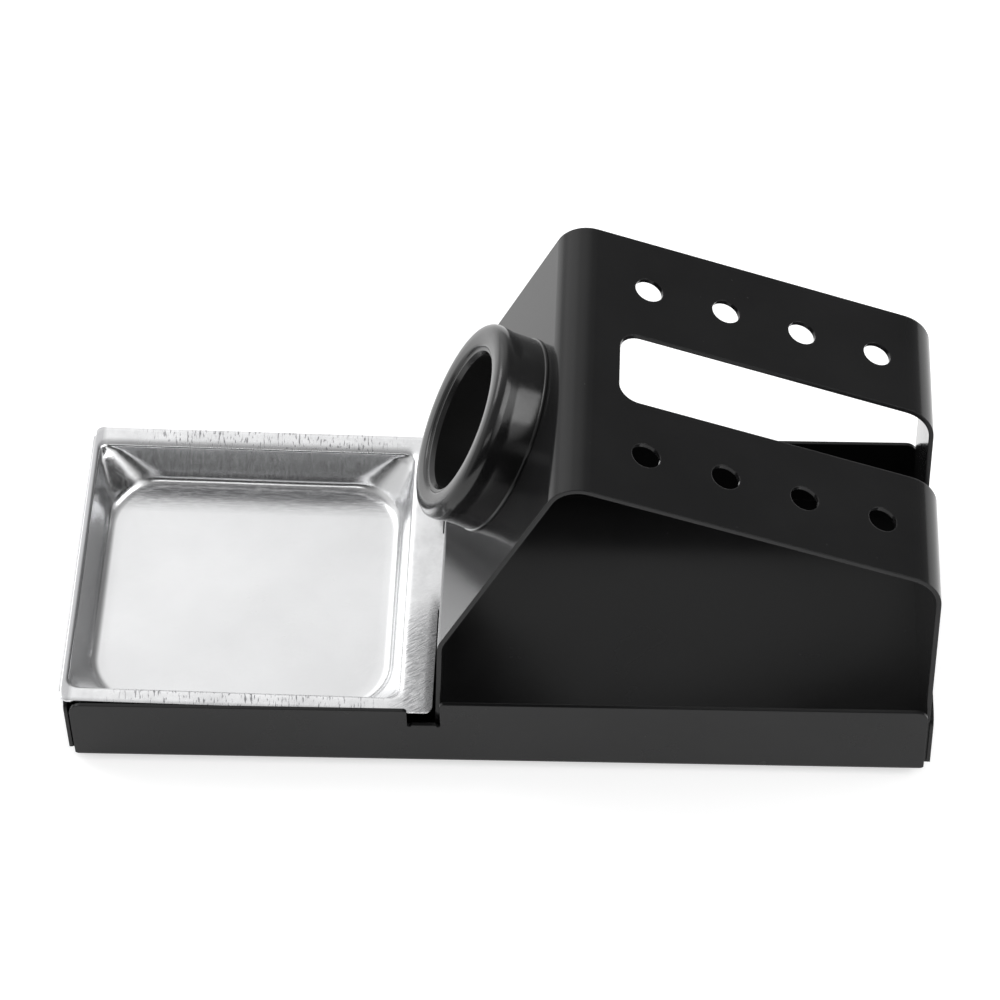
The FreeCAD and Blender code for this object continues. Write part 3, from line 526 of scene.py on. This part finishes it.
def make_tray():
    """The drawn tray: its upper face first, then the sheet's thickness and its cut edges."""
    placement, length, width = tray_placement()
    build = bmesh.new()
    rim = add_well(build, length, width)
    add_tab(build, rim)
    add_hook(build, rim, width)
    bmesh.ops.recalc_face_normals(build, faces=build.faces)
    if sum(face.normal.z * face.calc_area() for face in build.faces) < 0:
        bmesh.ops.reverse_faces(build, faces=build.faces)
    for face in build.faces:
        face.smooth = True
    tray = object_from("drawn_tray", build, FINISHES["bare_aluminium"])
    tray.matrix_world = placement
    sheet = tray.modifiers.new("sheet", "SOLIDIFY")
    sheet.thickness = TRAY_SHEET / 1000
    sheet.offset = -1
    sheet.use_even_offset = False
    burr = tray.modifiers.new("edge_rounding", "BEVEL")
    burr.width = BURR / 1000
    burr.segments = 2
    burr.limit_method = "ANGLE"
    burr.angle_limit = math.radians(60)
    burr.use_clamp_overlap = True
    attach(tray, "tray")
    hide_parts("sponge_tray")


# ---------------------------------------------------------------- collar
def rounded(corners, steps=6):
    """A closed outline through (r, h, rounding) corners, each turned with its own radius."""
    points = []
    count = len(corners)
    for i, (r, h, radius) in enumerate(corners):
        here = Vector((r, h))
        if radius == 0:
            points.append(here)
            continue
        before = (Vector(corners[i - 1][:2]) - here).normalized()
        after = (Vector(corners[(i + 1) % count][:2]) - here).normalized()
        half = before.angle(after) / 2
        reach = radius / math.tan(half)
        centre = here + (before + after).normalized() * (radius / math.sin(half))
        start = here + before * reach - centre
        end = here + after * reach - centre
        sweep = start.angle_signed(end)
        for step in range(steps + 1):
            angle = -sweep * step / steps
            spoke = Vector((start.x * math.cos(angle) - start.y * math.sin(angle),
                            start.x * math.sin(angle) + start.y * math.cos(angle)))
            points.append(centre + spoke)
    return points


def make_collar():
    """The moulded guide collar: body, bead with a soft front, and the spigot through the plate."""
    mount = [m for m in frame["record"]["mounts"] if m["name"] == "iron_guide"][0]
    axis = Vector(mount["axis"]).normalized()
    back = Vector(mount["pos_m"]) - axis * mount["dims"]["length_mm"] / 2000
    origin = back + axis * SPIGOT / 1000
    section = rounded(COLLAR_SECTION)
    build = bmesh.new()
    rings = []
    for turn in range(COLLAR_TURNS):
        angle = 2 * math.pi * turn / COLLAR_TURNS
        rings.append([build.verts.new((r * math.cos(angle) / 1000, r * math.sin(angle) / 1000, h / 1000))
                      for r, h in section])
    count = len(section)
    for turn in range(COLLAR_TURNS):
        ring, following = rings[turn], rings[(turn + 1) % COLLAR_TURNS]
        for i in range(count):
            j = (i + 1) % count
            face = build.faces.new((ring[i], following[i], following[j], ring[j]))
            face.smooth = True
            if max(section[i].x, section[j].x) < BORE_WALL:
                face.material_index = 1
    bmesh.ops.recalc_face_normals(build, faces=build.faces)
    collar = object_from("moulded_collar", build, FINISHES["black_phenolic"], darker_bore())
    collar.matrix_world = Matrix.Translation(origin) @ axis.to_track_quat("Z", "Y").to_matrix().to_4x4()
    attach(collar, "stand")
    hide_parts("guide_ring")


# ---------------------------------------------------------------- studio
# Places and sizes in this section are in metres, and light is in radiance.
FLOOR_HALF = 3.0
FLOOR_DROP = 0.00005                    # just under the feet, so that the two planes don't flicker
FLOOR_GLOW = 0.75
SKY_LEVEL = 0.38
SKY_FLOOR = 0.02                        # no direction is darker than this
SKY = (                                 # (middle of the patch, full within, gone beyond, added light)
    ((-0.55, 0.69, 0.4), 25, 55, 0.65),
    ((-0.58, 0.66, 0.48), 6, 24, 0.6),
    ((0.86, -0.33, 0.39), 12, 40, 1.2),
    ((-0.95, -0.2, 0.24), 12, 35, 0.35),
    ((0.0, 0.5, 0.85), 10, 40, 0.2),
    ((0.6, 0.6, 0.5), 10, 35, -0.18),
    ((0.0, -1.0, 0.1), 20, 60, -0.33),
)
TARGET = Vector((0, 0, 0.03))
SOFTBOXES = (                           # (name, direction from the target, distance, width, height, light)
    ("right_softbox", (0.72, -0.1, 0.72), 1.1, 0.75, 0.5, 3.0),
    ("front_softbox", (-0.1, -0.74, 0.65), 1.4, 0.9, 0.25, 1.6),
    ("key_softbox", (-0.62, 0.36, 0.68), 1.4, 0.6, 0.6, 3.0),
)
CAMERA_PLACE = (0.03342, -0.52844, 0.64587)
YAW, PITCH, ROLL = -0.0633, 0.8506, -0.0325     # radians
LENS = 139.36                           # millimetres, like the sensor
SENSOR = 36


def add_floor():
    """White paper that glows, so that hardly any shadow shows on it."""
    build = bmesh.new()
    bmesh.ops.create_grid(build, x_segments=8, y_segments=8, size=FLOOR_HALF)
    material, tree, shader = new_material("studio_paper")
    cloud = noise(tree, object_place(tree), 0.01, 3)
    colour = blend_colours(tree, cloud, (0.74, 0.74, 0.74, 1), (0.77, 0.77, 0.77, 1))
    tree.links.new(colour, shader.inputs["Base Color"])
    shader.inputs["Roughness"].default_value = 0.9
    tree.links.new(colour, shader.inputs["Emission Color"])
    shader.inputs["Emission Strength"].default_value = FLOOR_GLOW
    floor = object_from("studio_floor", build, material)
    floor.location.z = -FLOOR_DROP


def sky_patch(tree, direction, middle, inner, outer):
    """1 within inner degrees of the patch's middle, falling smoothly to 0 at outer degrees."""
    dot = add(tree, "ShaderNodeVectorMath", i0=direction)
    dot.operation = "DOT_PRODUCT"
    dot.inputs[1].default_value = Vector(middle).normalized()
    node = add(tree, "ShaderNodeMapRange", Value=dot.outputs["Value"])
    node.interpolation_type = "SMOOTHSTEP"
    node.inputs["From Min"].default_value = math.cos(math.radians(outer))
    node.inputs["From Max"].default_value = math.cos(math.radians(inner))
    return node.outputs["Result"]


def light_studio():
    """A soft grey room with brighter and darker patches, seen in the paint and the metal."""
    world = bpy.data.worlds.new("studio")
    bpy.context.scene.world = world
    world.use_nodes = True
    tree = world.node_tree
    background = tree.nodes["Background"]
    direction = add(tree, "ShaderNodeTexCoord").outputs["Generated"]
    total = None
    for middle, inner, outer, amount in SKY:
        part = calculate(tree, "MULTIPLY", sky_patch(tree, direction, middle, inner, outer), amount)
        total = part if total is None else calculate(tree, "ADD", total, part)
    total = calculate(tree, "MAXIMUM", calculate(tree, "ADD", total, SKY_LEVEL), SKY_FLOOR)
    tree.links.new(total, background.inputs["Strength"])
    background.inputs["Color"].default_value = (1, 1, 1, 1)


def add_softbox(name, direction, distance, width, height, radiance):
    """A rectangular light that faces the target."""
    light = bpy.data.lights.new(name, "AREA")
    light.shape = "RECTANGLE"
    light.size = width
    light.size_y = height
    light.energy = radiance * math.pi * width * height
    lamp = bpy.data.objects.new(name, light)
    bpy.context.scene.collection.objects.link(lamp)
    away = Vector(direction).normalized()
    lamp.location = TARGET + away * distance
    lamp.rotation_euler = away.to_track_quat("Z", "Y").to_euler()


def add_camera():
    """Long lens, looking down at about 49 degrees, a little from the right."""
    level = math.cos(PITCH)
    ahead = Vector((math.sin(YAW) * level, math.cos(YAW) * level, -math.sin(PITCH)))
    right = Vector((math.cos(YAW), -math.sin(YAW), 0))
    down = ahead.cross(right)
    across_view = math.cos(ROLL) * right - math.sin(ROLL) * down
    down_view = math.sin(ROLL) * right + math.cos(ROLL) * down
    camera_data = bpy.data.cameras.new("camera")
    camera_data.sensor_width = SENSOR
    camera_data.lens = LENS
    camera_data.clip_start = 0.05
    camera = bpy.data.objects.new("camera", camera_data)
    rotation = Matrix((across_view, -down_view, -ahead)).transposed().to_4x4()
    camera.matrix_world = Matrix.Translation(CAMERA_PLACE) @ rotation
    bpy.context.scene.collection.objects.link(camera)
    bpy.context.scene.camera = camera


paint_cad_nodes()
make_tray()
make_collar()
add_floor()
light_studio()
for softbox in SOFTBOXES:
    add_softbox(*softbox)
add_camera()
bpy.context.scene.view_settings.view_transform = "Standard"
